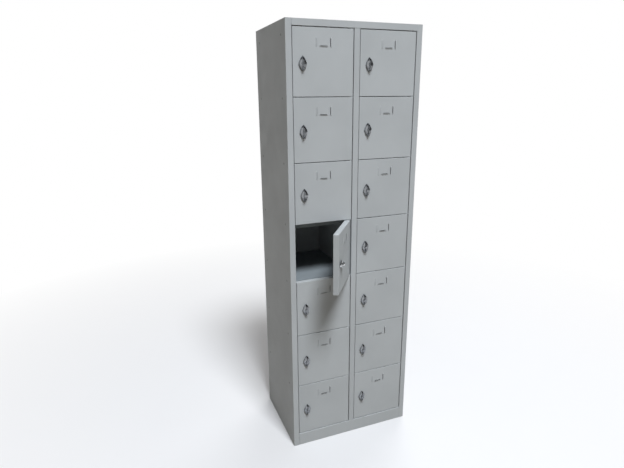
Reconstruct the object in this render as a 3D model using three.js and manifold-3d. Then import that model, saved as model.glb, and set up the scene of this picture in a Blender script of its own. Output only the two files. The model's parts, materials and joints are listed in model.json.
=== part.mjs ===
// A free-standing steel phone locker: two columns of seven small compartments behind inset doors.
// Millimetres, +Z up. The origin is on the floor at the middle of the carcass's footprint,
// the doors face -Y, and the left column is on -X.

import * as THREE from 'three';
import { mergeVertices } from 'three/addons/utils/BufferGeometryUtils.js';
import Module from 'manifold-3d';

const wasm = await Module();
wasm.setup();

// Carcass sizes
const carcassWidth = 588;
const carcassDepth = 404;
const carcassHeight = 1850;
const sheet = 0.8;
const stileWidth = 25;
const mullionWidth = 25;
const topRailHeight = 25;
const plinthHeight = 60;
const frameReturn = 24;
const rearFold = 15;
const bearerWidth = 40;
const footFold = 20;
const backBead = 2;
const backBeadWidth = 12;

// Each back bead's place, as a share of half the width
const backBeadShares = [-0.5, 0.5];

// The gap kept where one piece rests on or is welded to another
const seat = 0.3;

// How far a cutting shape runs past what it cuts
const overrun = 1;

// Doors
const doorRows = 7;
const seamGap = 2.5;
const doorDepth = 22;
const doorRecess = 2;
const doorReturn = 14;
const openRow = 4;
const openAngle = THREE.MathUtils.degToRad(54);

// Hinges: a pin through each door's top and bottom fold, on tabs welded to the posts
const hingeInset = 7;
const hingeSetback = 5;
const pinRadius = 2;
const pinReach = 6;
const pinClearance = 0.4;
const pinSides = 10;
const tabClearance = 0.4;
const tabSetback = 1;
const tabBorder = 3;

// Shelves
const shelfLip = 20;
const shelfSetback = 4;

// The card holder's three pressed lips
const cardWidth = 63;
const cardDrop = 34;
const lipLength = 36;
const lipWidth = 5;
const lipProud = 2.4;
const lipSheet = 0.8;
const lipSlot = 1.2;
const lipSlotEnd = 3;

// Lock body: a round rose on the door's skin, and a threaded tail with its nut
const lockInset = 39.5;
const lockDrop = 4;
const roseRadius = 12;
const roseThickness = 2;
const tailRadius = 8;
const tailLength = 16;
const tailClearance = 0.4;
const nutRadius = 12.5;
const nutThickness = 5;
const lockSides = 12;
const nutSides = 6;

// Lock knob: a lozenge handle, crowned, with a ridge to grip and the key's barrel at its middle,
// on a shaft with the latch cam
const handleWidth = 30;
const handleHeight = 56;
const handleThickness = 3;
const handleSteps = 2;
const crownWidth = 24;
const crownHeight = 42;
const crownRise = 4;
const ridgeThickness = 5;
const ridgeLength = 50;
const ridgeHeight = 13;
const barrelRadius = 6.5;
const keySlotWidth = 1.6;
const keySlotHeight = 7;
const keySlotDepth = 3;
const shaftRadius = 4;
const shaftClearance = 0.4;
const shaftSides = 8;
const camClearance = 1;
const camEngage = 10;
const camWidth = 14;
const camThickness = 2;
const camNutRadius = 6;
const camNutThickness = 3.5;
const camSteps = 4;

// Each corner of the handle's outline is rounded over this share of its side
const handleRoundShare = 0.22;

// The crown's front face, as a share of its foot
const crownTopShare = 0.6;

// The ridge's side outline: how far along its half length, and how far up its height
const ridgeShares = [[-1, 0], [-1, 0.2], [-0.7, 0.66], [-0.35, 1], [0.35, 1], [0.7, 0.66], [1, 0.2], [1, 0]];

// Places worked out from the sizes above
const halfWidth = carcassWidth / 2;
const frontY = -carcassDepth / 2;
const backY = carcassDepth / 2;
const sideInner = halfWidth - sheet;
const underTop = carcassHeight - sheet;
const postEdge = mullionWidth / 2;
const stileEdge = halfWidth - stileWidth;
const returnY = frontY + frameReturn;
const backPanelY = backY - sheet - seat - sheet - backBead;
const railBottom = carcassHeight - topRailHeight;
const doorWidth = stileEdge - postEdge - 2 * seamGap;
const doorHeight = (railBottom - plinthHeight - (doorRows + 1) * seamGap) / doorRows;
const rowPitch = doorHeight + seamGap;
const tabThickness = seamGap - 2 * tabClearance;

// The height of the middle of the seam above row 1, row 2 and so on, and below the last
const seamHeight = (seam) => railBottom - seamGap / 2 - seam * rowPitch;

// Solids from three.js geometry, and back again

function solidOf(geometry) {
  const bare = geometry.clone();
  bare.deleteAttribute('normal');
  bare.deleteAttribute('uv');
  const merged = mergeVertices(bare);
  return new wasm.Manifold(new wasm.Mesh({
    numProp: 3,
    vertProperties: new Float32Array(merged.attributes.position.array),
    triVerts: new Uint32Array(merged.index.array),
  }));
}

function geometryOf(solid) {
  const mesh = solid.getMesh();
  const geometry = new THREE.BufferGeometry();
  geometry.setAttribute('position', new THREE.BufferAttribute(mesh.vertProperties, 3));
  geometry.setIndex(new THREE.BufferAttribute(mesh.triVerts, 1));
  geometry.computeVertexNormals();
  return geometry;
}

function join(...geometries) {
  return geometryOf(geometries.map(solidOf).reduce((all, next) => all.add(next)));
}

function cut(geometry, ...tools) {
  return geometryOf(tools.map(solidOf).reduce((left, tool) => left.subtract(tool), solidOf(geometry)));
}

function block([x0, x1], [y0, y1], [z0, z1]) {
  const box = new THREE.BoxGeometry(x1 - x0, y1 - y0, z1 - z0);
  return box.translate((x0 + x1) / 2, (y0 + y1) / 2, (z0 + z1) / 2);
}

// Folded sheet metal: the path follows the outer face, and the sheet lies on the right of it.
function sheetOutline(path, thickness) {
  const outer = path.map(([x, y]) => new THREE.Vector2(x, y));
  const runs = outer.slice(1).map((point, i) => point.clone().sub(outer[i]).normalize());
  const rightOf = (run) => new THREE.Vector2(run.y, -run.x);
  const inner = outer.map((point, i) => {
    const before = rightOf(runs[Math.max(i - 1, 0)]);
    const after = rightOf(runs[Math.min(i, runs.length - 1)]);
    const mitre = before.clone().add(after).divideScalar(1 + before.dot(after));
    return point.clone().addScaledVector(mitre, thickness);
  });
  return new THREE.Shape([...outer, ...inner.reverse()]);
}

function extrude(shape, depth, curveSegments) {
  return new THREE.ExtrudeGeometry(shape, { depth, curveSegments, bevelEnabled: false });
}

// A fold seen from above, standing from one height to another
function standing(path, z0, z1) {
  return extrude(sheetOutline(path, sheet), z1 - z0).translate(0, 0, z0);
}

// A fold seen from the side, its points given as (y, z), running across from one x to another
function crossing(path, x0, x1) {
  const turn = new THREE.Matrix4().makeBasis(
    new THREE.Vector3(0, 1, 0),
    new THREE.Vector3(0, 0, 1),
    new THREE.Vector3(1, 0, 0),
  );
  return extrude(sheetOutline(path, sheet), x1 - x0).applyMatrix4(turn).translate(x0, 0, 0);
}

// An outline seen from the front, its points given as (x, z), running back from one y to another
function facing(shape, y0, y1, curveSegments) {
  return extrude(shape, y1 - y0, curveSegments).rotateX(Math.PI / 2).translate(0, y1, 0);
}

function turned(radius, y0, y1, sides) {
  return new THREE.CylinderGeometry(radius, radius, y1 - y0, sides).translate(0, (y0 + y1) / 2, 0);
}

function upright(radius, z0, z1, sides) {
  return new THREE.CylinderGeometry(radius, radius, z1 - z0, sides)
    .rotateX(Math.PI / 2)
    .translate(0, 0, (z0 + z1) / 2);
}

// Finishes

const paint = new THREE.MeshStandardMaterial({ color: 0xb2b7ba, roughness: 0.45, metalness: 0 });
const shelfPaint = new THREE.MeshStandardMaterial({ color: 0xa9aeb1, roughness: 0.5, metalness: 0 });
const chrome = new THREE.MeshStandardMaterial({ color: 0xd9dbdd, roughness: 0.12, metalness: 1 });

function piece(name, geometry, material) {
  const mesh = new THREE.Mesh(geometry, material);
  mesh.name = name;
  return mesh;
}

// Carcass

// Where a hinge pin's axis stands, for a post whose edge towards its doors is at postX
const pinX = (postX) => postX - seamGap - hingeInset;
const pinY = frontY + doorRecess + hingeSetback;

// A hinge tab lies in the seam, welded to the post, with a pin up and down into the doors it carries.
function hingeTab(postX, seam) {
  const z = seamHeight(seam);
  const far = pinX(postX) - pinRadius - tabBorder;
  const depth = [frontY + doorRecess + tabSetback, pinY + pinRadius + tabBorder];
  const tab = block([far, postX + sheet], depth, [z - tabThickness / 2, z + tabThickness / 2]);
  const reach = seamGap / 2 + sheet + pinReach;
  const low = seam < doorRows ? z - reach : z;
  const high = seam > 0 ? z + reach : z;
  const pin = upright(pinRadius, low, high, pinSides).translate(pinX(postX), pinY, 0);
  return [tab, pin];
}

function hingeTabs(postX) {
  return Array.from({ length: doorRows + 1 }, (_, seam) => hingeTab(postX, seam)).flat();
}

// A side sheet folds round its front edge into the stile and round its back edge into a lip.
// The left one has side -1 and the right one +1.
function sidePanel(side) {
  const path = [
    [side * stileEdge, returnY],
    [side * stileEdge, frontY],
    [side * halfWidth, frontY],
    [side * halfWidth, backY],
    [side * (halfWidth - rearFold), backY],
  ];
  return standing(side < 0 ? path : path.reverse(), 0, underTop - seat);
}

// The partition's front edge is folded into the mullion, and its web runs back between the columns.
function centrePartition() {
  const path = [
    [postEdge, returnY],
    [postEdge, frontY],
    [-postEdge, frontY],
    [-postEdge, returnY],
    [-sheet / 2, returnY],
    [-sheet / 2, backPanelY - seat],
  ];
  const folded = standing(path, plinthHeight + seat, underTop - seat);
  const railRoom = block(
    [-mullionWidth, mullionWidth],
    [frontY - overrun, returnY + seat],
    [railBottom - seat, underTop + overrun],
  );
  return join(cut(folded, railRoom), ...hingeTabs(-postEdge));
}

// What the side panels' folds take from a sheet that lies between them: all beyond x, on both sides
function sideRoom(x, depth, height) {
  const outside = halfWidth + overrun;
  return [block([-outside, -x], depth, height), block([x, outside], depth, height)];
}

const stileDepth = [frontY - overrun, returnY + seat];
const rearDepth = [backY - sheet - seat, backY + overrun];

// The top sheet folds down into the top rail in front and a short lip behind.
function topPanel() {
  const path = [
    [returnY, railBottom],
    [frontY, railBottom],
    [frontY, carcassHeight],
    [backY, carcassHeight],
    [backY, carcassHeight - rearFold],
  ];
  const height = [railBottom - overrun, underTop];
  return cut(
    crossing(path, -halfWidth, halfWidth),
    ...sideRoom(stileEdge - seat, stileDepth, height),
    ...sideRoom(halfWidth - rearFold - seat, rearDepth, height),
  );
}

// The floor of the lowest compartments folds down into the plinth, over a bearer at mid width.
function baseTray() {
  const rear = backPanelY - seat;
  const path = [
    [frontY + footFold, 0],
    [frontY, 0],
    [frontY, plinthHeight],
    [rear, plinthHeight],
    [rear, plinthHeight - rearFold],
  ];
  const inner = sideInner - seat;
  const height = [-overrun, plinthHeight + overrun];
  const folded = cut(crossing(path, -inner, inner), ...sideRoom(stileEdge - seat, stileDepth, height));
  const half = bearerWidth / 2;
  const channel = sheetOutline([
    [half, plinthHeight - sheet / 2],
    [half, 0],
    [-half, 0],
    [-half, plinthHeight - sheet / 2],
  ], sheet);
  return join(folded, facing(channel, frontY + footFold - sheet, rear - sheet / 2));
}

// The back sheet lies against the side panels' rear lips and is stiffened by two pressed beads.
function backPanel() {
  const inner = sideInner - seat;
  const outerFace = backPanelY + backBead + sheet;
  const beads = backBeadShares.flatMap((share) => {
    const x = share * halfWidth;
    const half = backBeadWidth / 2;
    return [
      [x - half, outerFace],
      [x - half + backBead, outerFace - backBead],
      [x + half - backBead, outerFace - backBead],
      [x + half, outerFace],
    ];
  });
  const path = [[-inner, outerFace], ...beads, [inner, outerFace]];
  return standing(path, 0, underTop - seat);
}

// A shelf is a tray turned over, folded down all round.
function shelf() {
  const width = sideInner - sheet / 2 - 2 * seat;
  const front = returnY + shelfSetback;
  const rear = backPanelY - seat;
  const tray = block([0, width], [front, rear], [-shelfLip, 0]);
  const hollow = block(
    [sheet, width - sheet],
    [front + sheet, rear - sheet],
    [-shelfLip - overrun, -sheet],
  );
  return cut(tray, hollow);
}

// Doors, each drawn about its hinge axis at its own middle height

const doorFree = hingeInset - doorWidth;
const doorFront = -hingeSetback;
const doorBack = doorDepth - hingeSetback;
const doorMiddle = hingeInset - doorWidth / 2;
const lockX = doorFree + lockInset;

// A pressed lip of the card holder: a wall on the skin, folded over towards the card, and its slot,
// which shows beyond the fold.
// It is drawn along z with the fold towards +x, and turned by angle about the door's normal.
function cardLip(length, angle, x, z) {
  const half = length / 2;
  const wall = block([-lipWidth / 2, -lipWidth / 2 + lipSheet], [-lipProud, sheet / 2], [-half, half]);
  const fold = block([-lipWidth / 2, lipWidth / 2], [-lipProud, -lipProud + lipSheet], [-half, half]);
  const slot = block(
    [-lipWidth / 2 + lipSheet, lipWidth / 2 + lipSlot],
    [-lipProud + lipSheet, sheet + overrun],
    [-half + lipSlotEnd, half - lipSlotEnd],
  );
  const place = (geometry) => geometry.rotateY(angle).translate(x, doorFront, z);
  return { lip: join(place(wall), place(fold)), slot: place(slot) };
}

function cardLips() {
  const top = doorHeight / 2 - cardDrop;
  const side = cardWidth / 2;
  return [
    cardLip(lipLength, 0, doorMiddle - side, top - lipLength / 2),
    cardLip(lipLength, Math.PI, doorMiddle + side, top - lipLength / 2),
    cardLip(lipLength, -Math.PI / 2, doorMiddle, top - lipLength + lipWidth / 2),
  ];
}

function door() {
  const half = doorHeight / 2;
  const pan = block([doorFree, hingeInset], [doorFront, doorBack], [-half, half]);
  const hollow = block(
    [doorFree + sheet, hingeInset - sheet],
    [doorFront + sheet, doorBack - sheet],
    [-half + sheet, half - sheet],
  );
  const window = block(
    [doorFree + doorReturn, hingeInset - doorReturn],
    [doorBack - sheet - overrun, doorBack + overrun],
    [-half + doorReturn, half - doorReturn],
  );
  const lockHole = turned(tailRadius + tailClearance, -overrun, sheet + overrun, lockSides)
    .translate(lockX, doorFront, -lockDrop);
  const pinHole = upright(pinRadius + pinClearance, -half - overrun, half + overrun, pinSides);
  const lips = cardLips();
  const bare = cut(pan, hollow, window, lockHole, pinHole);
  return cut(join(bare, ...lips.map(({ lip }) => lip)), ...lips.map(({ slot }) => slot));
}

// Lock, drawn about the shaft's axis: y is 0 at the door's outer face and negative in front of it

const roseFront = -seat - roseThickness;
const handleBack = roseFront - seat;
const handleMiddle = handleBack - handleThickness / 2;
const handleFront = handleBack - handleThickness;
const crownFront = handleFront - crownRise;
const ridgeFront = handleFront - ridgeHeight;
const camFace = Math.max(doorDepth, frameReturn - doorRecess) + camClearance;
const camEnd = camFace + camThickness;
const camLength = lockInset + seamGap + camEngage;

function lockBody() {
  const rose = turned(roseRadius, roseFront, -seat, lockSides);
  const tail = turned(tailRadius, -seat - roseThickness / 2, tailLength, lockSides);
  const nutFace = sheet + seat;
  const nut = turned(nutRadius, nutFace, nutFace + nutThickness, nutSides);
  const bore = turned(shaftRadius + shaftClearance, roseFront - overrun, tailLength + overrun, shaftSides);
  return cut(join(rose, tail, nut), bore);
}

function handleOutline() {
  const rounding = 1 - handleRoundShare / 2;
  const x = handleWidth / 2 / rounding;
  const z = handleHeight / 2 / rounding;
  const corners = [[x, 0], [0, z], [-x, 0], [0, -z]].map((point) => new THREE.Vector2(...point));
  const shape = new THREE.Shape();
  corners.forEach((corner, i) => {
    const start = corner.clone().lerp(corners[(i + 3) % 4], handleRoundShare);
    const end = corner.clone().lerp(corners[(i + 1) % 4], handleRoundShare);
    if (i === 0) shape.moveTo(start.x, start.y);
    else shape.lineTo(start.x, start.y);
    shape.quadraticCurveTo(corner.x, corner.y, end.x, end.y);
  });
  shape.closePath();
  return shape;
}

function crown() {
  return new THREE.CylinderGeometry(1, crownTopShare, handleMiddle - crownFront, lockSides)
    .scale(crownWidth / 2, 1, crownHeight / 2)
    .translate(0, (handleMiddle + crownFront) / 2, 0);
}

// The ridge runs up the handle's long axis, highest at the shaft.
function ridge() {
  const outline = new THREE.Shape(ridgeShares.map(([along, up]) => (
    new THREE.Vector2(along * ridgeLength / 2, up * (handleMiddle - ridgeFront))
  )));
  return extrude(outline, ridgeThickness)
    .translate(0, 0, -ridgeThickness / 2)
    .rotateY(Math.PI / 2)
    .rotateX(Math.PI)
    .translate(0, handleMiddle, 0);
}

function camOutline() {
  const half = camWidth / 2;
  const shape = new THREE.Shape();
  shape.moveTo(half, 0);
  shape.lineTo(half, camLength - half);
  shape.absarc(0, camLength - half, half, 0, Math.PI, false);
  shape.lineTo(-half, 0);
  shape.absarc(0, 0, half, Math.PI, 2 * Math.PI, false);
  return shape;
}

function lockKnob() {
  const handle = facing(handleOutline(), handleFront, handleBack, handleSteps);
  const barrel = turned(barrelRadius, ridgeFront, handleMiddle, lockSides);
  const shaft = turned(shaftRadius, handleMiddle, camEnd, shaftSides);
  const cam = facing(camOutline(), camFace, camEnd, camSteps);
  const nut = turned(camNutRadius, camEnd - camThickness / 2, camEnd + camNutThickness, nutSides);
  const keySlot = block(
    [-keySlotWidth / 2, keySlotWidth / 2],
    [ridgeFront - overrun, ridgeFront + keySlotDepth],
    [-keySlotHeight / 2, keySlotHeight / 2],
  );
  return cut(join(handle, crown(), ridge(), barrel, shaft, cam, nut), keySlot);
}

// Assembly

const locker = new THREE.Group();

locker.add(
  piece('left_side_panel', sidePanel(-1), paint),
  piece('right_side_panel', join(sidePanel(1), ...hingeTabs(stileEdge)), paint),
  piece('top_panel', topPanel(), paint),
  piece('base_tray', baseTray(), paint),
  piece('back_panel', backPanel(), paint),
  piece('centre_partition', centrePartition(), paint),
);

const shelfGeometry = shelf();
const doorGeometry = door();
const lockBodyGeometry = lockBody();
const lockKnobGeometry = lockKnob();

const columns = [
  { side: 'left', shelfX: -sideInner + seat, postX: -postEdge },
  { side: 'right', shelfX: sheet / 2 + seat, postX: stileEdge },
];

for (const { side, shelfX, postX } of columns) {
  for (let row = 1; row < doorRows; row += 1) {
    const tray = piece(`shelf_${side}_${row}`, shelfGeometry, shelfPaint);
    tray.position.set(shelfX, 0, seamHeight(row));
    locker.add(tray);
  }
  for (let row = 1; row <= doorRows; row += 1) {
    const open = side === 'left' && row === openRow;
    const leaf = new THREE.Group();
    leaf.position.set(pinX(postX), pinY, (seamHeight(row - 1) + seamHeight(row)) / 2);
    leaf.rotation.z = open ? openAngle : 0;
    leaf.add(piece(`door_${side}_${row}`, doorGeometry, paint));

    const lock = new THREE.Group();
    lock.position.set(lockX, doorFront, -lockDrop);
    lock.add(piece(`lock_body_${side}_${row}`, lockBodyGeometry, chrome));
    const knob = piece(`lock_knob_${side}_${row}`, lockKnobGeometry, chrome);
    knob.rotation.y = open ? Math.PI / 2 : 0;
    lock.add(knob);
    leaf.add(lock);
    locker.add(leaf);
  }
}

export default locker;
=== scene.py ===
"""A steel phone locker, finished around its fixed frame: painted folded sheet, chromed locks, a plain studio.

Lengths are in metres, +Z is up, the doors face -Y, and the left column is on -X, as in the frame.
"""

import json
import math

import bmesh
import bpy
from mathutils import Matrix, Vector


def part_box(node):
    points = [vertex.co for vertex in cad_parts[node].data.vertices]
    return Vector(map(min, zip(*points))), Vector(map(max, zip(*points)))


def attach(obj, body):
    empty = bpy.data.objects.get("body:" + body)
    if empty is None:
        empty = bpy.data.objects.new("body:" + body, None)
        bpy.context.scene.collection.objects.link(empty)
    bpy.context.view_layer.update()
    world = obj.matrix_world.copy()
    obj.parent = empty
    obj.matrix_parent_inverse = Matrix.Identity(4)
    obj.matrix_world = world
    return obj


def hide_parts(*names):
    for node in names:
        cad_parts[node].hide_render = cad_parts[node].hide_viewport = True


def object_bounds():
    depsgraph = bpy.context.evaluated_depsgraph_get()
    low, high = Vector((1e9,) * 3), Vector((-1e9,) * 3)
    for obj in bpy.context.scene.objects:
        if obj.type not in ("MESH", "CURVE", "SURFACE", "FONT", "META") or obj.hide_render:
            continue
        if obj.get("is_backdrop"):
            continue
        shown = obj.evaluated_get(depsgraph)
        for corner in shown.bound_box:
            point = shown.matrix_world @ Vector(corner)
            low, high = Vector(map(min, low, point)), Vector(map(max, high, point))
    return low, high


bl_info = {
    "name": "Phone locker",
    "version": (1, 0, 0),
    "blender": (4, 5, 0),
    "location": "View3D > Sidebar > Locker",
    "description": "Dresses the frame of a steel phone locker in paint and chrome",
    "category": "Add Mesh",
}

MM = 0.001
SIDES = ("left", "right")

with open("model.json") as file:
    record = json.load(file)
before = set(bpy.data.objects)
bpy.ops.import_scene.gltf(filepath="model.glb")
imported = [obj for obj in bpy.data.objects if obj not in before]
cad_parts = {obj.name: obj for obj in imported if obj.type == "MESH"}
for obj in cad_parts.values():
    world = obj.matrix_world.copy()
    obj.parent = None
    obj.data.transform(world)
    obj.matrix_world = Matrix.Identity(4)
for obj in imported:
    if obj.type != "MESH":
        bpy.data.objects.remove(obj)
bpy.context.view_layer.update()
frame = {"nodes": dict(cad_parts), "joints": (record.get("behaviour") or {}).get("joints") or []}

JOINTS = {joint["name"]: joint for joint in frame["joints"]}
ROWS = range(1, 1 + sum(name.startswith("door_left_") for name in frame["nodes"]))
# A shut door's opposite corners, measured from its hinge axis at its middle height.
LEAF_LOW, LEAF_HIGH = (
    corner - Vector(JOINTS["door_right_1_hinge"]["pos_m"]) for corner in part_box("door_right_1")
)


def linear(code):
    """The linear red, green and blue of an sRGB hex colour."""
    shares = [(code >> shift & 0xFF) / 0xFF for shift in (16, 8, 0)]
    return tuple(s / 12.92 if s <= 0.04045 else ((s + 0.055) / 1.055) ** 2.4 for s in shares)


def length(name, description, default):
    """A size that a user may change."""
    return bpy.props.FloatProperty(name=name, description=description, default=default, unit="LENGTH", precision=4)


def colour(name, description, code):
    """A colour that a user may change, from its sRGB hex code."""
    return bpy.props.FloatVectorProperty(
        name=name, description=description, default=linear(code), size=3, subtype="COLOR", min=0, max=1
    )


def angle(name, description, degrees):
    """An angle that a user may change."""
    return bpy.props.FloatProperty(
        name=name, description=description, default=math.radians(degrees), subtype="ANGLE", precision=4
    )


def brightness(name, description, default):
    """How strong a light is, which a user may change."""
    return bpy.props.FloatProperty(name=name, description=description, default=default, min=0)


def direction(name, description, default):
    """A direction that a user may change, of any length."""
    return bpy.props.FloatVectorProperty(
        name=name, description=description, default=default, subtype="DIRECTION", precision=3
    )


def light_colour(name, description, default):
    """The colour of a light that a user may change, in linear shares of red, green and blue."""
    return bpy.props.FloatVectorProperty(
        name=name, description=description, default=default, subtype="COLOR", min=0, max=1, precision=3
    )


class LockerSheet(bpy.types.PropertyGroup):
    """Folded sheet steel and its welds."""
    thickness: length("Sheet", "Thickness of the painted sheet", 0.8 * MM)
    bend: length("Bend", "Outer radius of a fold", 1.6 * MM)
    ease: length("Eased edge", "Rounding that the paint gives a cut edge", 0.2 * MM)
    leaf_return: length("Door return", "How far a door's back folds turn inwards", 14 * MM)
    weld_radius: length("Weld mark", "Radius of a spot weld's mark on the side", 5 * MM)
    weld_rise: length("Weld mark's rise", "How far a weld mark's rim stands off the sheet", 0.6 * MM)
    weld_drop: length("Weld drop", "How far below a shelf's top its welds are", 4 * MM)
    weld_inset: length("Weld inset", "From the front or the back of the side to its welds", 52 * MM)
    weld_top: length("Top weld", "How far below the top doors' upper edge the highest welds are", 25 * MM)


class LockerHinge(bpy.types.PropertyGroup):
    """Hinge holes in each door's top and bottom fold."""
    hole_radius: length("Hinge hole", "Radius of the hole that takes the hinge pin", 2.4 * MM)


class LockerCard(bpy.types.PropertyGroup):
    """The three pressed lips that hold a name card."""
    width: length("Card width", "Between the middles of the side lips", 63 * MM)
    drop: length("Card drop", "From the door's top to the side lips' upper ends", 34 * MM)
    lip_length: length("Lip length", "Length of each lip", 36 * MM)
    lip_width: length("Lip width", "Width of each lip across its slot", 5 * MM)
    lip_proud: length("Lip height", "How far a lip stands off the door", 2.4 * MM)
    slot: length("Slot", "How far the slot under a lip shows beyond the lip's free edge", 1.7 * MM)
    slot_end: length("Slot end", "From the end of a lip to the end of its slot", 3 * MM)


class LockerLock(bpy.types.PropertyGroup):
    """The knob lock of a door, from its rose to its cam."""
    rose_radius: length("Rose radius", "Radius of the fixed ring under the handle", 12 * MM)
    rose_thickness: length("Rose thickness", "Thickness of that ring", 2 * MM)
    tail_radius: length("Tail radius", "Radius of the threaded tail", 8 * MM)
    tail_length: length("Tail length", "How far the tail reaches behind the door's face", 16 * MM)
    thread_pitch: length("Thread pitch", "Pitch of the tail's thread", 1 * MM)
    nut_radius: length("Nut radius", "Radius of the fixing nut across its corners", 12.5 * MM)
    nut_thickness: length("Nut thickness", "Thickness of the fixing nut", 5 * MM)
    handle_width: length("Handle width", "Width of the lozenge handle", 33 * MM)
    handle_height: length("Handle height", "Height of the lozenge handle", 54 * MM)
    handle_thickness: length("Handle rim", "Thickness of the handle at its rim", 3 * MM)
    handle_dish: length("Handle dish", "How far the handle's tips bend back towards the door", 2 * MM)
    crown_rise: length("Crown", "How far the handle swells above its rim", 4.5 * MM)
    ridge_height: length("Ridge height", "How far the ridge stands above the rim", 13 * MM)
    ridge_length: length("Ridge length", "Length of the ridge", 50 * MM)
    ridge_thickness: length("Ridge thickness", "Thickness of the ridge", 5 * MM)
    barrel_radius: length("Barrel radius", "Radius of the key's barrel", 6.5 * MM)
    shaft_radius: length("Shaft radius", "Radius of the shaft through the door", 4 * MM)
    stud_radius: length("Stud radius", "Radius of the shaft's thin end, which takes the cam's nut", 2.8 * MM)
    cam_radius: length("Cam radius", "Half the latch cam's width", 7 * MM)
    cam_thickness: length("Cam thickness", "Thickness of the latch cam", 2 * MM)
    cam_nut_radius: length("Cam nut radius", "Radius of the cam's nut across its corners", 6 * MM)
    cam_nut_thickness: length("Cam nut thickness", "Thickness of the cam's nut", 3.5 * MM)
    gap: length("Running gap", "Gap between pieces that touch", 0.3 * MM)


class LockerFinish(bpy.types.PropertyGroup):
    """Colours of the paint and the metals."""
    paint: colour("Paint", "Powder coat on the carcass and doors", 0xB3B8BB)
    # The same powder coat, set darker: painted shade for the shelves inside the compartments.
    shelf_paint: colour("Shelf paint", "Powder coat on the shelves", 0x868E93)
    # Darker than the sheet's paint: painted shade for the weld marks' dishes.
    weld_shade_paint: colour("Weld paint", "Powder coat where it lies thin in a weld's dish", 0x8C9194)
    # Set darker than clean chrome: a painted dark reflection of a dim room, on every chromed piece except the open
    # door's handle.
    chrome: colour("Chrome", "Chrome plate gone a little dull with use", 0x9B9EA2)
    # Brighter than the chrome elsewhere: a painted highlight on the open door's handle.
    bright_chrome: colour("Bright chrome", "Chrome plate on the handle of a door that stands open", 0xE4E6E8)
    # Mixed into all chrome in random dull patches, and into shut doors' handles as painted dark reflection on their
    # lower half.
    grime_and_dark_reflection: colour("Grime", "What fingers leave on the chrome", 0x2E2F30)
    zinc: colour("Zinc", "Zinc plate on the cams and nuts", 0xA8AAA6)
    peel: length("Orange peel", "Size of the paint's ripples, drawn coarse enough to show", 3 * MM)


class LockerStudio(bpy.types.PropertyGroup):
    """The camera, the floor and the lights."""
    camera_place: bpy.props.FloatVectorProperty(
        name="Camera", description="Where the camera stands", default=(-0.88835, -1.98293, 1.5669), subtype="XYZ",
        unit="LENGTH", precision=5,
    )
    camera_pan: angle("Pan", "How far the camera is turned to the right of +Y", 21.287)
    camera_tilt: angle("Tilt", "How far the camera looks down", 16.225)
    camera_roll: angle("Roll", "How far the camera leans", -0.512)
    lens: bpy.props.FloatProperty(name="Lens", description="Focal length in millimetres", default=27.5)
    shift: bpy.props.FloatVectorProperty(
        name="Shift", description="Lens shift, in picture widths", default=(-0.0005, 0.0052), size=2, precision=4
    )
    lamp_distance: length("Lamp distance", "From the lamps to the middle of the locker", 13.0)
    key: brightness("Key", "Light that the front lamp gives, in W/m2", 3.66)
    key_spread: angle("Key spread", "How wide the front lamp looks from the locker", 17)
    key_towards: direction("Key direction", "From the locker towards the front lamp", (0, -0.50, 0.86))
    key_tint: light_colour("Key tint", "Colour of the front lamp's light", (0.94, 0.965, 1))
    back: brightness("Back", "Light that the rear lamp gives, in W/m2", 1.2)
    back_spread: angle("Back spread", "How wide the rear lamp looks from the locker", 44)
    back_towards: direction("Back direction", "From the locker towards the rear lamp", (0.6, 0.65, 0.45))
    back_tint: light_colour("Back tint", "Colour of the rear lamp's light", (1, 1, 1))
    ambient: brightness("Ambient", "Strength of the room's even light", 0.163)
    ambient_tint: light_colour("Ambient tint", "Colour of the room's even light", (1, 0.945, 0.9))
    room_shade: colour("Room shade", "Colour of the room's ceiling, and of the wall that chrome mirrors", 0x2E2F31)
    floor_size: length("Floor", "Side of the floor", 24.0)
    floor: colour("Floor colour", "Colour of the floor as it is seen", 0xE6E7E9)
    floor_bounce: colour("Floor bounce", "Colour that the floor throws back on the locker", 0x9A948A)
    fade_start: length("Fade start", "From the floor's middle to where it begins to pale", 0.9)
    fade_end: length("Fade end", "From the floor's middle to where it is as white as the room", 3.2)


class Setting:
    """Reads the scene's property groups by short names."""

    def __getattr__(self, name):
        return getattr(bpy.context.scene, f"locker_{name}")


of = Setting()

# Nodes and materials


def add_node(tree, kind, settings=(), inputs=()):
    """Adds a node with its settings, and for each input, by name or in order, a value or the socket that feeds it."""
    node = tree.nodes.new(kind)
    for key, value in dict(settings).items():
        setattr(node, key, value)
    for key, value in inputs.items() if isinstance(inputs, dict) else enumerate(inputs):
        if isinstance(value, bpy.types.NodeSocket):
            tree.links.new(value, node.inputs[key])
        else:
            node.inputs[key].default_value = value
    return node


def new_material(name):
    """An empty material with its shader and output joined."""
    material = bpy.data.materials.new(name)
    material.use_nodes = True
    tree = material.node_tree
    tree.nodes.clear()
    shader = add_node(tree, "ShaderNodeBsdfPrincipled")
    add_node(tree, "ShaderNodeOutputMaterial", inputs={"Surface": shader.outputs[0]})
    return material, tree, shader


def wandering_place(tree):
    """Object coordinates, shifted by a different step on each piece."""
    place = add_node(tree, "ShaderNodeTexCoord")
    piece = add_node(tree, "ShaderNodeObjectInfo")
    inputs = (place.outputs["Object"], piece.outputs["Random"])
    return add_node(tree, "ShaderNodeVectorMath", {"operation": "ADD"}, inputs).outputs[0]


# A Map Range node's inputs are, in order, the value, the two ends that it comes from and the two that it goes to.
# A Mix node that mixes colours takes its share at 0 and the colours at 6 and 7, and gives the mix at 2.


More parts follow.
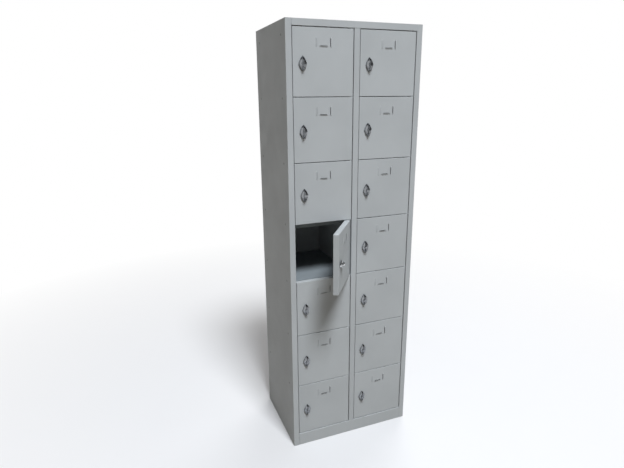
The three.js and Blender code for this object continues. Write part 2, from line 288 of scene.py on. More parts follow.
def powder_coated_steel(name, paint):
    """Light grey powder coat baked on cold-rolled sheet: satin, with a fine ripple called orange peel.

    The eye gets soft wide highlights at the folds, a very slight mottling and no brush or grain.
    """
    material, tree, shader = new_material(name)
    place = wandering_place(tree)
    cloud = add_node(tree, "ShaderNodeTexNoise", inputs={"Vector": place, "Scale": 1 / (220 * MM), "Detail": 3})
    touch = add_node(tree, "ShaderNodeTexNoise", inputs={"Vector": place, "Scale": 1 / (45 * MM), "Detail": 5})
    peel = add_node(tree, "ShaderNodeTexNoise", inputs={"Vector": place, "Scale": 1 / of.finish.peel, "Detail": 1})
    dark, light = ((*(channel * share for channel in paint), 1) for share in (0.96, 1.03))
    mottling = add_node(tree, "ShaderNodeMapRange", inputs=(cloud.outputs["Fac"], 0.35, 0.65, 0, 1))
    shade = add_node(tree, "ShaderNodeMix", {"data_type": "RGBA"}, {0: mottling.outputs[0], 6: dark, 7: light})
    satin = add_node(tree, "ShaderNodeMapRange", inputs=(touch.outputs["Fac"], 0.3, 0.7, 0.46, 0.58))
    bump = add_node(tree, "ShaderNodeBump", inputs={
        "Height": peel.outputs["Fac"], "Strength": 0.12, "Distance": 0.05 * MM,
    })
    tree.links.new(shade.outputs[2], shader.inputs["Base Color"])
    tree.links.new(satin.outputs[0], shader.inputs["Roughness"])
    tree.links.new(bump.outputs[0], shader.inputs["Normal"])
    shader.inputs["IOR"].default_value = 1.5
    shader.inputs["Specular IOR Level"].default_value = 0.2
    return material


def chrome_plated_zinc(name, plate, dark_reflection_painted=False):
    """Die-cast zinc under chrome: a mirror whose casting waves bend what it shows, in random dull patches, with
    painted dark reflection over a shut door's handle's lower half.
    """
    material, tree, shader = new_material(name)
    place = wandering_place(tree)
    wave = add_node(tree, "ShaderNodeTexNoise", inputs={"Vector": place, "Scale": 1 / (9 * MM), "Detail": 1})
    blur = add_node(tree, "ShaderNodeTexNoise", inputs={"Vector": place, "Scale": 1 / (5 * MM), "Detail": 2})
    haze = blur.outputs["Fac"]
    bump = add_node(tree, "ShaderNodeBump", inputs={
        "Height": wave.outputs["Fac"], "Strength": 0.25, "Distance": 0.3 * MM,
    })
    dull_and_dark_share = add_node(tree, "ShaderNodeMapRange", inputs=(haze, 0.35, 0.65, 0.05, 0.35)).outputs[0]
    if dark_reflection_painted:
        # Painted dark reflection, patchy, from none just above the shaft to the most on the handle's lower half.
        local = add_node(tree, "ShaderNodeTexCoord").outputs["Object"]
        height = add_node(tree, "ShaderNodeSeparateXYZ", inputs=[local]).outputs["Z"]
        lower = add_node(tree, "ShaderNodeMapRange", inputs=(height, 2 * MM, -14 * MM, 0, 0.8)).outputs[0]
        patches = add_node(tree, "ShaderNodeMapRange", inputs=(haze, 0.3, 0.7, 0.5, 0.9)).outputs[0]
        painted_dark_reflection = add_node(tree, "ShaderNodeMath", {"operation": "MULTIPLY"}, (lower, patches)).outputs[0]
        dull_and_dark_share = add_node(tree, "ShaderNodeMath", {"operation": "MAXIMUM"}, (dull_and_dark_share, painted_dark_reflection)).outputs[0]
    colours = {0: dull_and_dark_share, 6: (*plate, 1), 7: (*of.finish.grime_and_dark_reflection, 1)}
    shade = add_node(tree, "ShaderNodeMix", {"data_type": "RGBA"}, colours)
    polish = add_node(tree, "ShaderNodeMapRange", inputs=(dull_and_dark_share, 0, 1, 0.08, 0.3))
    tree.links.new(shade.outputs[2], shader.inputs["Base Color"])
    tree.links.new(polish.outputs[0], shader.inputs["Roughness"])
    tree.links.new(bump.outputs[0], shader.inputs["Normal"])
    shader.inputs["Metallic"].default_value = 1
    return material


def zinc_plated_steel(name, plate):
    """Pressed steel with a thin zinc plate: a duller, slightly yellow and blotchy metal."""
    material, tree, shader = new_material(name)
    place = wandering_place(tree)
    blotch = add_node(tree, "ShaderNodeTexNoise", inputs={"Vector": place, "Scale": 1 / (5 * MM), "Detail": 4})
    patches = blotch.outputs["Fac"]
    dark, light = ((*(channel * share for channel in plate), 1) for share in (0.75, 1))
    shade = add_node(tree, "ShaderNodeMix", {"data_type": "RGBA"}, {0: patches, 6: dark, 7: light})
    dullness = add_node(tree, "ShaderNodeMapRange", inputs=(patches, 0.3, 0.7, 0.28, 0.45))
    tree.links.new(shade.outputs[2], shader.inputs["Base Color"])
    tree.links.new(dullness.outputs[0], shader.inputs["Roughness"])
    shader.inputs["Metallic"].default_value = 1
    return material


def finish(name):
    """A finish by name, made the first time that it is asked for."""
    makers = {
        "powder-coated steel": (powder_coated_steel, of.finish.paint),
        # Shelves: the same powder coat darkened as painted shade.
        "powder-coated shelf steel": (powder_coated_steel, of.finish.shelf_paint),
        # Weld marks: powder coat darkened as painted shade.
        "powder-coated weld": (powder_coated_steel, of.finish.weld_shade_paint),
        "chrome-plated zinc": (chrome_plated_zinc, of.finish.chrome),
        # Shut doors' handles: chrome with painted dark reflection on their lower half.
        "handled chrome-plated zinc": (chrome_plated_zinc, of.finish.chrome, True),
        # The open door's handle: chrome made brighter, a painted highlight.
        "bright chrome-plated zinc": (chrome_plated_zinc, of.finish.bright_chrome),
        "zinc-plated steel": (zinc_plated_steel, of.finish.zinc),
    }
    make, *choices = makers[name]
    return bpy.data.materials.get(name) or make(name, *choices)


# Meshes


def mesh_of(name, points, faces):
    """A mesh from points and faces, its faces turned outwards."""
    mesh = bpy.data.meshes.new(name)
    mesh.from_pydata([tuple(point) for point in points], [], faces)
    bm = bmesh.new()
    bm.from_mesh(mesh)
    bmesh.ops.remove_doubles(bm, verts=bm.verts, dist=0.001 * MM)
    bmesh.ops.recalc_face_normals(bm, faces=bm.faces)
    bm.to_mesh(mesh)
    bm.free()
    return mesh


def shaped(mesh, *modifiers):
    """What a stack of modifiers, each a kind and its settings, leaves of a mesh."""
    stand = bpy.data.objects.new(mesh.name, mesh)
    bpy.context.scene.collection.objects.link(stand)
    for kind, settings in modifiers:
        modifier = stand.modifiers.new(kind, kind)
        for key, value in settings.items():
            setattr(modifier, key, value)
    graph = bpy.context.evaluated_depsgraph_get()
    result = bpy.data.meshes.new_from_object(stand.evaluated_get(graph))
    bpy.data.objects.remove(stand)
    return result


def smooth(mesh, degrees=40):
    """Smooth shading, broken where faces meet more sharply than an angle."""
    mesh.shade_smooth()
    mesh.set_sharp_from_angle(angle=math.radians(degrees))
    return mesh


def rounding(width, segments=3):
    """A bevel of every sharp edge."""
    settings = {"width": width, "segments": segments, "limit_method": "ANGLE", "angle_limit": math.radians(50)}
    return "BEVEL", {**settings, "harden_normals": True, "use_clamp_overlap": True}


def fold_rounding():
    """A bevel by the weights that weigh_folds gives."""
    settings = {"width": of.sheet.bend, "segments": 4, "limit_method": "WEIGHT"}
    return "BEVEL", {**settings, "harden_normals": True, "use_clamp_overlap": False}


# Shades each flat face evenly, right up to its rounded edges.
FLAT_FACES = ("WEIGHTED_NORMAL", {"keep_sharp": True, "weight": 100})


def strip_width(face):
    """How wide a face is, taken as one long strip, which for a cut edge is the sheet's thickness."""
    return 2 * face.calc_area() / face.calc_perimeter()


def weigh_folds(bm):
    """Marks each bend for its full radius, inside and out, but not a cut edge or the short edge at a fold's end."""
    sheet, bend = of.sheet.thickness, of.sheet.bend
    weights = bm.edges.layers.float.new("bevel_weight_edge")
    for edge in bm.edges:
        if len(edge.link_faces) != 2:
            continue
        turn = edge.calc_face_angle()
        if turn < math.radians(40):
            continue
        cut = min(strip_width(face) for face in edge.link_faces) < 1.5 * sheet
        if not cut and not (edge.is_convex and edge.calc_length() < 6 * sheet):
            radius = bend if edge.is_convex else bend - sheet
            room = min(other.calc_length() for vert in edge.verts for other in vert.link_edges if other != edge)
            edge[weights] = min(radius * math.tan(turn / 2), 0.45 * room) / bend


def folded_sheet(node, origin):
    """A CAD sheet's shape about an origin, with whole flat faces, rounded bends and eased edges."""
    bm = bmesh.new()
    bm.from_mesh(frame["nodes"][node].data)
    bmesh.ops.translate(bm, verts=bm.verts, vec=-origin)
    bmesh.ops.remove_doubles(bm, verts=bm.verts, dist=0.002 * MM)
    bmesh.ops.dissolve_limit(bm, angle_limit=math.radians(1), verts=bm.verts, edges=bm.edges)
    bm.normal_update()
    weigh_folds(bm)
    for face in bm.faces:
        face.smooth = True
    mesh = bpy.data.meshes.new(node)
    bm.to_mesh(mesh)
    bm.free()
    return shaped(smooth(shaped(mesh, fold_rounding(), rounding(of.sheet.ease, 2))), FLAT_FACES)


def turned(name, profile, sides=48):
    """A solid turned about the Y axis from points given as (radius, y), from one end to the other."""
    points = []
    for radius, y in profile:
        for i in range(sides):
            around = 2 * math.pi * i / sides
            points.append((radius * math.cos(around), y, radius * math.sin(around)))
    faces = []
    for ring in range(len(profile) - 1):
        for i in range(sides):
            j = (i + 1) % sides
            faces.append([ring * sides + i, ring * sides + j, (ring + 1) * sides + j, (ring + 1) * sides + i])
    faces.append(list(range(sides)))
    faces.append([(len(profile) - 1) * sides + i for i in range(sides)])
    return mesh_of(name, points, faces)


def prism(name, outline, y0, y1):
    """A solid between two heights of an outline given as (x, z)."""
    count = len(outline)
    points = [(x, y, z) for y in (y0, y1) for x, z in outline]
    sides = [[i, (i + 1) % count, count + (i + 1) % count, count + i] for i in range(count)]
    return mesh_of(name, points, [list(range(count)), list(range(count, 2 * count)), *sides])


def box_mesh(name, low, high):
    """A box between two corners."""
    outline = [(low[0], low[2]), (high[0], low[2]), (high[0], high[2]), (low[0], high[2])]
    return prism(name, outline, low[1], high[1])


def arc(centre_x, centre_z, radius, start, end, steps):
    """Points on an arc, as (x, z)."""
    turns = [math.radians(start + (end - start) * i / steps) for i in range(steps + 1)]
    return [(centre_x + radius * math.cos(turn), centre_z + radius * math.sin(turn)) for turn in turns]


def joined(name, *meshes):
    """One mesh of several, each left as its own solid."""
    bm = bmesh.new()
    for mesh in meshes:
        bm.from_mesh(mesh)
    result = bpy.data.meshes.new(name)
    bm.to_mesh(result)
    bm.free()
    return result


def moved(mesh, matrix):
    """A copy of a mesh, moved."""
    copy = mesh.copy()
    copy.transform(matrix)
    return copy


def without(mesh, cutter):
    """A mesh with another one cut out of it."""
    tool = bpy.data.objects.new("cutter", cutter)
    bpy.context.scene.collection.objects.link(tool)
    result = shaped(mesh, ("BOOLEAN", {"operation": "DIFFERENCE", "solver": "EXACT", "object": tool}))
    bpy.data.objects.remove(tool)
    return result


def add_piece(name, mesh, body, finish_name, place=Matrix.Identity(4), stands_for=()):
    """Adds one piece of the locker: its mesh, its finish, its place and the body that it rides on."""
    if not mesh.materials:
        mesh.materials.append(finish(finish_name))
    piece = bpy.data.objects.new(name, mesh)
    bpy.context.scene.collection.objects.link(piece)
    piece.matrix_world = place
    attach(piece, body)
    if stands_for:
        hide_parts(*stands_for)
    return piece


# Places


def open_degrees(side, row):
    """How far a door stands open at rest, which is how far it can turn back."""
    return -JOINTS[f"door_{side}_{row}_hinge"]["range_deg"][0]


def leaf_turn(side, row):
    """The turn that takes a shut door to where it stands at rest."""
    return Matrix.Rotation(math.radians(open_degrees(side, row)), 4, "Z")


def leaf_place(side, row):
    """A door's place, from its hinge axis at the door's middle height."""
    return Matrix.Translation(JOINTS[f"door_{side}_{row}_hinge"]["pos_m"]) @ leaf_turn(side, row)


def lock_place(side, row):
    """A lock's place, from its shaft's axis at the door's outer face."""
    return Matrix.Translation(JOINTS[f"lock_knob_{side}_{row}_turn"]["pos_m"]) @ leaf_turn(side, row)


def knob_place(side, row):
    """A knob's place: upright when its cam points up, a quarter turn before the end of its range."""
    low = JOINTS[f"lock_knob_{side}_{row}_turn"]["range_deg"][0]
    return lock_place(side, row) @ Matrix.Rotation(math.radians(90 + low), 4, "Y")


def each_door():
    """The side and row of every door."""
    return [(side, row) for side in SIDES for row in ROWS]


def lock_centre():
    """The lock's axis on a door, measured from the door's own origin."""
    hinge, lock = (Vector(JOINTS[name]["pos_m"]) for name in ("door_right_1_hinge", "lock_knob_right_1_turn"))
    return lock - hinge


def leaf_front():
    """The outer face of a door, measured from its hinge axis."""
    return lock_centre().y


def card_lip_places():
    """Where each card lip's middle is, and how it is turned, seen from the front."""
    card = of.card
    middle = (LEAF_LOW.x + LEAF_HIGH.x) / 2
    top = LEAF_HIGH.z - card.drop
    reach = card.lip_length / 2
    return [
        (middle - card.width / 2, top - reach, 0),
        (middle + card.width / 2, top - reach, math.pi),
        (middle, top - card.lip_length + card.lip_width / 2, -math.pi / 2),
    ]


# Pieces


def leaf_mesh():
    """A door: a pan folded back on four sides, its back folds turned in, with its holes and card slots."""
    sheet = of.sheet
    front, back = leaf_front(), LEAF_HIGH.y
    inner = sheet.leaf_return
    rings = []
    for y, inset in ((front, 0), (back, 0), (back, inner)):
        x0, x1 = LEAF_LOW.x + inset, LEAF_HIGH.x - inset
        z0, z1 = LEAF_LOW.z + inset, LEAF_HIGH.z - inset
        rings += [(x0, y, z0), (x1, y, z0), (x1, y, z1), (x0, y, z1)]
    faces = [[3, 2, 1, 0]]
    for ring in (0, 4):
        for i in range(4):
            j = (i + 1) % 4
            faces.append([ring + i, ring + j, ring + 4 + j, ring + 4 + i])
    mesh = bpy.data.meshes.new("door pan")
    mesh.from_pydata(rings, [], faces)
    bm = bmesh.new()
    bm.from_mesh(mesh)
    bmesh.ops.recalc_face_normals(bm, faces=bm.faces)
    bm.normal_update()
    if bm.faces[0].normal.y > 0:
        bmesh.ops.reverse_faces(bm, faces=bm.faces)
    weights = bm.edges.layers.float.new("bevel_weight_edge")
    for edge in bm.edges:
        edge[weights] = 1 if len(edge.link_faces) == 2 and edge.calc_face_angle() > math.radians(45) else 0
    bm.to_mesh(mesh)
    bm.free()
    pan = shaped(
        mesh, fold_rounding(), ("SOLIDIFY", {"thickness": sheet.thickness, "offset": -1, "use_even_offset": True})
    )
    return shaped(smooth(without(pan, leaf_holes())), FLAT_FACES)


def leaf_holes():
    """What is cut from a door's pan: the lock's hole, the hinge holes and the slots under the card lips."""
    lock, front, through = lock_centre(), leaf_front(), 2 * of.sheet.thickness
    tail = of.lock.tail_radius + of.lock.gap
    holes = [moved(
        turned("lock hole", [(tail, -through), (tail, through)]), Matrix.Translation((lock.x, front, lock.z))
    )]
    pin = turned("hinge hole", [(of.hinge.hole_radius, -through), (of.hinge.hole_radius, through)], 24)
    for z in (LEAF_LOW.z, LEAF_HIGH.z):
        holes.append(moved(pin, Matrix.Translation((0, 0, z)) @ Matrix.Rotation(math.pi / 2, 4, "X")))
    half_width, half_length = of.card.lip_width / 2, of.card.lip_length / 2 - of.card.slot_end
    low = (-half_width + 2 * of.sheet.thickness, -through, -half_length)
    slot = box_mesh("card slot", low, (half_width + of.card.slot, through, half_length))
    for x, z, turn in card_lip_places():
        holes.append(moved(slot, Matrix.Translation((x, front, z)) @ Matrix.Rotation(turn, 4, "Y")))
    return joined("door holes", *holes)


def card_lip_mesh():
    """A lip lanced and pressed out of the door: it rises from one side and ends, and is open on the card's side."""
    card, across, along = of.card, 8, 28
    clear = 0.02 * MM
    points = []
    for i in range(along + 1):
        s = 2 * i / along - 1
        end = max(0, 1 - abs(s) ** 4) ** 0.5
        for j in range(across + 1):
            u = j / across
            rise = card.lip_proud * end * math.sin(u * math.pi / 2) ** 1.4
            points.append(((u - 0.5) * card.lip_width, -rise - clear, s * card.lip_length / 2))
    row = across + 1
    faces = [
        [i * row + j, i * row + j + 1, (i + 1) * row + j + 1, (i + 1) * row + j]
        for i in range(along) for j in range(across)
    ]
    mesh = bpy.data.meshes.new("card lip")
    mesh.from_pydata(points, [], faces)
    if mesh.polygons[0].normal.y > 0:
        mesh.flip_normals()
    return smooth(shaped(mesh, ("SOLIDIFY", {"thickness": of.sheet.thickness, "offset": -1})))


def rose_mesh():
    """The fixed ring and the threaded tail, one casting."""
    lock = of.lock
    face, edge = -lock.gap - lock.rose_thickness, 1 * MM
    profile = [
        (lock.shaft_radius, face),
        (lock.rose_radius - edge, face),
        (lock.rose_radius - 0.3 * edge, face + 0.3 * edge),
        (lock.rose_radius, face + edge),
        (lock.rose_radius, -lock.gap),
        (lock.tail_radius, -lock.gap),
    ]
    crest, root = lock.tail_radius, lock.tail_radius - 0.6 * lock.thread_pitch
    start = of.sheet.thickness
    turns = int((lock.tail_length - start) / lock.thread_pitch)
    for i in range(turns):
        y = start + i * lock.thread_pitch
        profile += [(crest, y), (root, y + lock.thread_pitch / 2)]
    profile += [(root, lock.tail_length), (lock.shaft_radius, lock.tail_length)]
    return smooth(turned("lock rose", profile))


def hexagon(radius):
    """A hexagon's corners, as (x, z)."""
    return [(radius * math.cos(math.radians(60 * i)), radius * math.sin(math.radians(60 * i))) for i in range(6)]


def nut_mesh(name, radius, bore, y0, y1):
    """A hexagon nut with turned corners."""
    body = prism(name, hexagon(radius), y0, y1)
    hole = turned("nut bore", [(bore, y0 - 1 * MM), (bore, y1 + 1 * MM)], 32)
    return smooth(shaped(without(body, hole), rounding(0.5 * MM)), 30)


def handle_half_width(z):
    """Half the lozenge's width at a height. A bulge of 1 would give it straight sides, and 2 would make an ellipse."""
    lock, bulge = of.lock, 1.3
    share = min(1, abs(z) / (lock.handle_height / 2))
    return lock.handle_width / 2 * (1 - share ** bulge) ** (1 / bulge)


def handle_section(z):
    """The handle's section at a height, as (x, rise above the back), from its left rim over to its right."""
    lock = of.lock
    half = max(handle_half_width(z), 0.4 * MM)
    rim = lock.handle_thickness
    along = min(1, abs(z) / (lock.ridge_length / 2))
    crown = lock.crown_rise * (1 - (abs(z) / (lock.handle_height / 2)) ** 2)
    ridge = (lock.ridge_height - lock.crown_rise) * (1 - along ** 2) ** 0.5
    blade = min(lock.ridge_thickness / 2, 0.6 * half)
    foot = min(blade + 1.6 * MM, 0.85 * half)

    def swell(x):
        """The crowned face's rise, without the ridge."""
        return rim + crown - (0.6 * crown + 0.35 * rim) * (x / half) ** 2

    # The rim, the face up to the ridge's foot, the foot's curve, and the ridge's side and rounded top.
    left = [(-half, 0.0), (-half, 0.4 * rim), (-half + 0.05 * min(half, 5 * MM), 0.6 * rim)]
    face = [-half + (half - foot) * share for share in (0.15, 0.3, 0.5, 0.75, 1)]
    left += [(x, swell(x)) for x in face]
    base = swell(foot)
    left += [(-(foot + (blade - foot) * share), base + ridge * share ** 3 * 0.25) for share in (0.5, 0.8, 1)]
    left += [(-blade * across, base + ridge * up) for across, up in ((0.97, 0.6), (0.9, 0.88), (0.6, 0.98))]
    return left + [(0.0, base + ridge)] + [(-x, rise) for x, rise in reversed(left)]


def handle_mesh():
    """The lozenge handle, crowned, with its ridge, the key's barrel and the keyway."""
    lock = of.lock
    back = -lock.gap - lock.rose_thickness - lock.gap
    stations = 48
    heights = [-lock.handle_height / 2 * math.cos(math.pi * i / stations) for i in range(stations + 1)]
    sections = [handle_section(z) for z in heights]
    count = len(sections[0])
    points = [
        (x, back + lock.handle_dish * (2 * z / lock.handle_height) ** 4 - rise, z)
        for z, section in zip(heights, sections) for x, rise in section
    ]
    faces = []
    for i in range(stations):
        for j in range(count):
            k = (j + 1) % count
            faces.append([i * count + j, i * count + k, (i + 1) * count + k, (i + 1) * count + j])
    faces.append(list(range(count)))
    faces.append([stations * count + j for j in range(count)])
    body = mesh_of("lock handle", points, faces)
    face = back - lock.handle_thickness - lock.ridge_height
    radius = lock.barrel_radius
    # The barrel's rounded rim, and a fine groove round its flat face.
    profile = [
        (radius, back - 0.5 * lock.handle_thickness),
        (radius, face + 0.8 * MM),
        (radius - 0.25 * MM, face + 0.25 * MM),
        (radius - 0.8 * MM, face),
        (radius - 1.6 * MM, face),
        (radius - 1.8 * MM, face + 0.4 * MM),
        (radius - 2.0 * MM, face),
    ]
    keyway = box_mesh("keyway", (-0.8 * MM, face - 1 * MM, -3.5 * MM), (0.8 * MM, face + 3 * MM, 3.5 * MM))
    barrel = without(turned("barrel", profile), keyway)
    return smooth(joined("lock handle", body, barrel), 30)


def cam_mesh(reach, front):
    """The latch cam: a flat bar with round ends, reaching up from the shaft."""
    radius = of.lock.cam_radius
    outline = arc(0, reach - radius, radius, 0, 180, 16) + arc(0, 0, radius, 180, 360, 16)
    return smooth(shaped(prism("latch cam", outline, front, front + of.lock.cam_thickness), rounding(0.3 * MM)), 30)


def shaft_mesh(shoulder, end):
    """The shaft: it turns freely in the rose, stops under the cam's nut, and is thinner from there on."""
    lock = of.lock
    shaft, stud = lock.shaft_radius - 0.2 * MM, lock.stud_radius
    profile = [(shaft, -lock.gap - lock.rose_thickness), (shaft, shoulder), (stud, shoulder), (stud, end - 0.5 * MM)]
    return smooth(turned("lock shaft", profile, 32))


class LOCKER_OT_studio(bpy.types.Operator):
    """Sets up the camera, the pale floor, the white room and the lamps."""
    bl_idname = "locker.studio"
    bl_label = "Studio"

    def execute(self, context):
        studio = of.studio
        data = bpy.data.cameras.new("camera")
        data.lens = studio.lens
        data.shift_x, data.shift_y = studio.shift
        camera = bpy.data.objects.new("camera", data)
        camera.matrix_world = (
            Matrix.Translation(studio.camera_place)
            @ Matrix.Rotation(-studio.camera_pan, 4, "Z")
            @ Matrix.Rotation(math.pi / 2 - studio.camera_tilt, 4, "X")
            @ Matrix.Rotation(studio.camera_roll, 4, "Z")
        )
        context.scene.collection.objects.link(camera)
        context.scene.camera = camera
        # Mirrored, the front lamp would be a white spot in each handle.
        self.add_lamp("front lamp", studio.key_towards, studio.key_spread, studio.key, studio.key_tint, False)
        self.add_lamp("rear lamp", studio.back_towards, studio.back_spread, studio.back, studio.back_tint, True)
        self.add_floor()
        self.light_room()
        context.scene.view_settings.view_transform = "Standard"
        return {"FINISHED"}

    def add_lamp(self, name, towards, spread_angle, strength, tint, mirrored):
        """A round, soft lamp that gives a wanted light at the locker's middle, and that gloss mirrors or not."""
        low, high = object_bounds()
        distance = of.studio.lamp_distance
        data = bpy.data.lights.new(name, "AREA")
        data.shape = "DISK"
        data.size = 2 * distance * math.tan(spread_angle / 2)
        data.energy = math.pi * distance ** 2 * strength
        data.color = tint
        light = bpy.data.objects.new(name, data)
        towards = towards.normalized()
        middle = (Vector(low) + Vector(high)) / 2
        light.matrix_world = (
            Matrix.Translation(middle + distance * towards) @ towards.to_track_quat("Z", "Y").to_matrix().to_4x4()
        )
        light.visible_camera = False
        light.visible_glossy = mirrored
        bpy.context.scene.collection.objects.link(light)

    def add_floor(self):
        """A plain painted floor that keeps the locker's shadow and pales into the room."""
        studio = of.studio
        half = studio.floor_size / 2
        corners = [(-half, -half, 0), (half, -half, 0), (half, half, 0), (-half, half, 0)]
        mesh = mesh_of("floor", corners, [[0, 1, 2, 3]])
        floor = bpy.data.objects.new("floor", mesh)
        material, tree, shader = new_material("painted floor")
        place = add_node(tree, "ShaderNodeTexCoord").outputs["Object"]
        distance = add_node(tree, "ShaderNodeVectorMath", {"operation": "LENGTH"}, [place]).outputs["Value"]
        cloud = add_node(tree, "ShaderNodeTexNoise", inputs={"Vector": place, "Scale": 1 / (300 * MM), "Detail": 4})
        dark, light = ((*(channel * share for channel in studio.floor), 1) for share in (0.985, 1))
        background = self.background_ray(tree)
        pale = add_node(tree, "ShaderNodeMix", {"data_type": "RGBA"}, {0: cloud.outputs["Fac"], 6: dark, 7: light})
        paint = add_node(tree, "ShaderNodeMix", {"data_type": "RGBA"}, {
            0: background, 6: (*studio.floor_bounce, 1), 7: pale.outputs[2],
        })
        tree.links.new(paint.outputs[2], shader.inputs["Base Color"])
        shader.inputs["Roughness"].default_value = 0.6
        white = add_node(tree, "ShaderNodeEmission")
        ends = (distance, studio.fade_start, studio.fade_end, 0, 1)
        fade = add_node(tree, "ShaderNodeMapRange", inputs=ends).outputs[0]
        seen = add_node(tree, "ShaderNodeMath", {"operation": "MULTIPLY"}, (fade, background))
        shaders = (seen.outputs[0], shader.outputs[0], white.outputs[0])
        mix = add_node(tree, "ShaderNodeMixShader", inputs=shaders)
        tree.links.new(mix.outputs[0], tree.nodes["Material Output"].inputs["Surface"])
        mesh.materials.append(material)
        bpy.context.scene.collection.objects.link(floor)
        floor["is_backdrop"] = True

    def background_ray(self, tree):
        """1 for a ray from the camera, a mirror or glass, and 0 for the light itself."""
        path = add_node(tree, "ShaderNodeLightPath").outputs
        bent = (path["Is Glossy Ray"], path["Is Transmission Ray"])
        mirror = add_node(tree, "ShaderNodeMath", {"operation": "MAXIMUM"}, bent).outputs[0]
        return add_node(tree, "ShaderNodeMath", {"operation": "MAXIMUM"}, (path["Is Camera Ray"], mirror)).outputs[0]

    def light_room(self):
        """A room that looks white under a dark ceiling, and lights evenly and gently.

        What is glossy also mirrors a dark wall, on the right and towards the front.
        """
        world = bpy.data.worlds.new("room")
        world.use_nodes = True
        bpy.context.scene.world = world
        tree = world.node_tree
        tree.nodes.clear()
        place = add_node(tree, "ShaderNodeTexCoord").outputs["Generated"]
        axes = add_node(tree, "ShaderNodeSeparateXYZ", inputs=[place]).outputs
        ceiling = add_node(tree, "ShaderNodeMapRange", inputs=(axes["Z"], 0.45, 0.75, 0, 1)).outputs[0]
        wall = add_node(tree, "ShaderNodeMapRange", inputs=(axes["X"], 0.05, 0.45, 0, 0.9)).outputs[0]
        front = add_node(tree, "ShaderNodeMapRange", inputs=(axes["Y"], 0.3, 0, 0, 1)).outputs[0]
        mirrored = add_node(tree, "ShaderNodeLightPath").outputs["Is Glossy Ray"]
        for share in (front, mirrored):
            wall = add_node(tree, "ShaderNodeMath", {"operation": "MULTIPLY"}, (wall, share)).outputs[0]
        dark = add_node(tree, "ShaderNodeMath", {"operation": "MAXIMUM"}, (ceiling, wall)).outputs[0]
        colours = {0: dark, 6: (1, 1, 1, 1), 7: (*of.studio.room_shade, 1)}
        shades = add_node(tree, "ShaderNodeMix", {"data_type": "RGBA"}, colours).outputs[2]
        seen = add_node(tree, "ShaderNodeBackground", inputs={"Color": shades, "Strength": 1})
        light = add_node(tree, "ShaderNodeBackground", inputs={
            "Color": (*of.studio.ambient_tint, 1), "Strength": of.studio.ambient,
        })
        shaders = (self.background_ray(tree), light.outputs[0], seen.outputs[0])
        mix = add_node(tree, "ShaderNodeMixShader", inputs=shaders)
        add_node(tree, "ShaderNodeOutputWorld", inputs={"Surface": mix.outputs[0]})


class LOCKER_OT_carcass(bpy.types.Operator):
    """Dresses the side, top, base, back and partition sheets, and marks the welds on the sides."""
    bl_idname = "locker.carcass"
    bl_label = "Carcass"

    def execute(self, context):
        nodes = ("left_side_panel", "right_side_panel", "top_panel", "base_tray", "back_panel", "centre_partition")
        for node in nodes:
            mesh = folded_sheet(node, Vector())
            add_piece(f"{node}_finished", mesh, "carcass", "powder-coated steel", stands_for=[node])
        for side in SIDES:
            mesh = self.weld_marks(side)
            # The weld marks take a darker paint, painted shade for their dishes.
            add_piece(f"weld_marks_{side}", mesh, "carcass", "powder-coated weld")
        return {"FINISHED"}

    def weld_marks(self, side):
        """The painted-over rims of the spot welds that hold the shelves, dished in the middle."""
        sheet = of.sheet
        radius, rise = sheet.weld_radius, sheet.weld_rise
        low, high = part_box(f"{side}_side_panel")
        outer, away = (low.x, -1) if side == "left" else (high.x, 1)
        # From the middle of the dish out to the rim's foot, which dips a little into the sheet.
        profile = [
            (0.01 * MM, -rise * 0.3), (radius * 0.2, -rise * 0.35), (radius * 0.55, -rise * 0.5),
            (radius * 0.75, -rise), (radius, 0.1 * MM),
        ]
        mark = turned("weld mark", profile, 20)
        outwards = Matrix.Rotation(math.radians(90 * away), 4, "Z")
        heights = [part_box(f"shelf_{side}_{row}")[1].z - sheet.weld_drop for row in ROWS[:-1]]
        heights.append(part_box(f"door_{side}_1")[1].z - sheet.weld_top)
        places = [(y, z) for z in heights for y in (low.y + sheet.weld_inset, high.y - sheet.weld_inset)]
        return smooth(joined("weld marks", *[
            moved(mark, Matrix.Translation((outer, y, z)) @ outwards) for y, z in places
        ]))


class LOCKER_OT_shelves(bpy.types.Operator):
    """Dresses the shelves between the compartments."""
    bl_idname = "locker.shelves"
    bl_label = "Shelves"

    def execute(self, context):
        mesh = folded_sheet("shelf_left_1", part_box("shelf_left_1")[0])
        for side in SIDES:
            for row in ROWS[:-1]:
                node = f"shelf_{side}_{row}"
                place = Matrix.Translation(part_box(node)[0])
                # The shelves take the darker paint, painted shade inside the compartments.
                finish_name = "powder-coated shelf steel"
                add_piece(f"{node}_finished", mesh, "carcass", finish_name, place, [node])
        return {"FINISHED"}


class LOCKER_OT_doors(bpy.types.Operator):
    """Adds the doors, each a folded pan with its holes."""
    bl_idname = "locker.doors"
    bl_label = "Doors"

    def execute(self, context):
        mesh = leaf_mesh()
        for side, row in each_door():
            node = f"door_{side}_{row}"
            place = leaf_place(side, row)
            add_piece(f"{node}_pan", mesh, node, "powder-coated steel", place, [node])
        return {"FINISHED"}


class LOCKER_OT_card_holders(bpy.types.Operator):
    """Adds the three pressed lips of each door's card holder."""
    bl_idname = "locker.card_holders"
    bl_label = "Card holders"

    def execute(self, context):
        lip = card_lip_mesh()
        mesh = joined("card lips", *[
            moved(lip, Matrix.Translation((x, leaf_front(), z)) @ Matrix.Rotation(turn, 4, "Y"))
            for x, z, turn in card_lip_places()
        ])
        smooth(mesh)
        for side, row in each_door():
            name, body = f"card_lips_{side}_{row}", f"door_{side}_{row}"
            add_piece(name, mesh, body, "powder-coated steel", leaf_place(side, row))
        return {"FINISHED"}


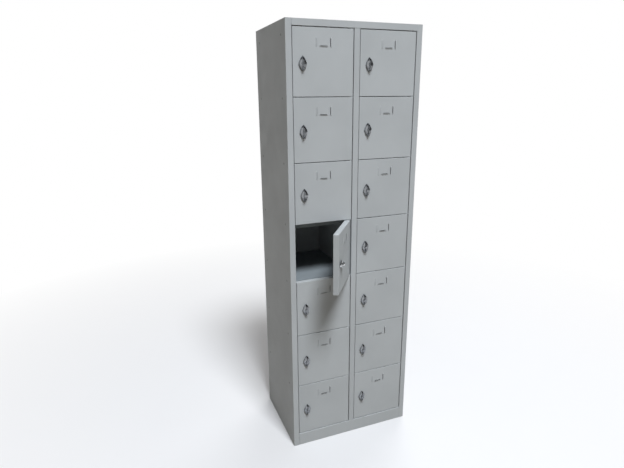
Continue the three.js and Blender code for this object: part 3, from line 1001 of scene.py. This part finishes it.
class LOCKER_OT_lock_bodies(bpy.types.Operator):
    """Adds each lock's fixed rose with its threaded tail, and the nut that holds it."""
    bl_idname = "locker.lock_bodies"
    bl_label = "Lock bodies"

    def execute(self, context):
        lock = of.lock
        nut_face = of.sheet.thickness + lock.gap
        rose = rose_mesh()
        nut = nut_mesh("lock nut", lock.nut_radius, lock.tail_radius, nut_face, nut_face + lock.nut_thickness)
        for side, row in each_door():
            door, place = f"door_{side}_{row}", lock_place(side, row)
            stands_for = [f"lock_body_{side}_{row}"]
            add_piece(f"lock_rose_{side}_{row}", rose, door, "chrome-plated zinc", place, stands_for)
            add_piece(f"lock_nut_{side}_{row}", nut, door, "zinc-plated steel", place)
        return {"FINISHED"}


class LOCKER_OT_lock_knobs(bpy.types.Operator):
    """Adds each lock's handle, and its shaft, latch cam and cam nut behind the door."""
    bl_idname = "locker.lock_knobs"
    bl_label = "Lock knobs"

    def execute(self, context):
        lock = of.lock
        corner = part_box("lock_knob_right_1")[1] - Vector(JOINTS["lock_knob_right_1_turn"]["pos_m"])
        reach, end = corner.z, corner.y
        shoulder = end - lock.cam_nut_thickness
        # Pieces that share a mesh share its finish, so the open door's handle, whose brighter chrome is a painted
        # highlight, has a mesh of its own.
        dark_reflection_handle = handle_mesh()
        highlight_handle = dark_reflection_handle.copy()
        cam = cam_mesh(reach, shoulder - lock.cam_thickness)
        nut = nut_mesh("cam nut", lock.cam_nut_radius, lock.stud_radius, shoulder, end)
        shaft = shaft_mesh(shoulder, end)
        for side, row in each_door():
            body, place = f"lock_knob_{side}_{row}", knob_place(side, row)
            # A shut door's handle gets painted dark reflection on its lower half.
            handle, plate = dark_reflection_handle, "handled chrome-plated zinc"
            # The open door's handle gets brighter chrome, a painted highlight.
            if open_degrees(side, row) > 0:
                handle, plate = highlight_handle, "bright chrome-plated zinc"
            add_piece(f"lock_handle_{side}_{row}", handle, body, plate, place, [body])
            add_piece(f"latch_cam_{side}_{row}", cam, body, "zinc-plated steel", place)
            add_piece(f"cam_nut_{side}_{row}", nut, body, "zinc-plated steel", place)
            add_piece(f"lock_shaft_{side}_{row}", shaft, body, "zinc-plated steel", place)
        return {"FINISHED"}


OPERATORS = (
    LOCKER_OT_studio,
    LOCKER_OT_carcass,
    LOCKER_OT_shelves,
    LOCKER_OT_doors,
    LOCKER_OT_card_holders,
    LOCKER_OT_lock_bodies,
    LOCKER_OT_lock_knobs,
)

GROUPS = {
    "sheet": LockerSheet,
    "hinge": LockerHinge,
    "card": LockerCard,
    "lock": LockerLock,
    "finish": LockerFinish,
    "studio": LockerStudio,
}


class LOCKER_PT_sidebar(bpy.types.Panel):
    """Lists the locker's pieces."""
    bl_idname = "LOCKER_PT_sidebar"
    bl_label = "Phone locker"
    bl_space_type = "VIEW_3D"
    bl_region_type = "UI"
    bl_category = "Locker"

    def draw(self, context):
        for operator in OPERATORS:
            self.layout.operator(operator.bl_idname)
        for name, group in GROUPS.items():
            box = self.layout.box()
            box.label(text=group.__doc__)
            for prop in group.__annotations__:
                box.prop(getattr(context.scene, f"locker_{name}"), prop)


CLASSES = (*GROUPS.values(), *OPERATORS, LOCKER_PT_sidebar)


def register():
    for cls in CLASSES:
        bpy.utils.register_class(cls)
    for name, group in GROUPS.items():
        setattr(bpy.types.Scene, f"locker_{name}", bpy.props.PointerProperty(type=group))


def unregister():
    for name in GROUPS:
        delattr(bpy.types.Scene, f"locker_{name}")
    for cls in reversed(CLASSES):
        bpy.utils.unregister_class(cls)


def main():
    register()
    for operator in OPERATORS:
        category, name = operator.bl_idname.split(".")
        getattr(getattr(bpy.ops, category), name)()


if __name__ == "__main__":
    main()
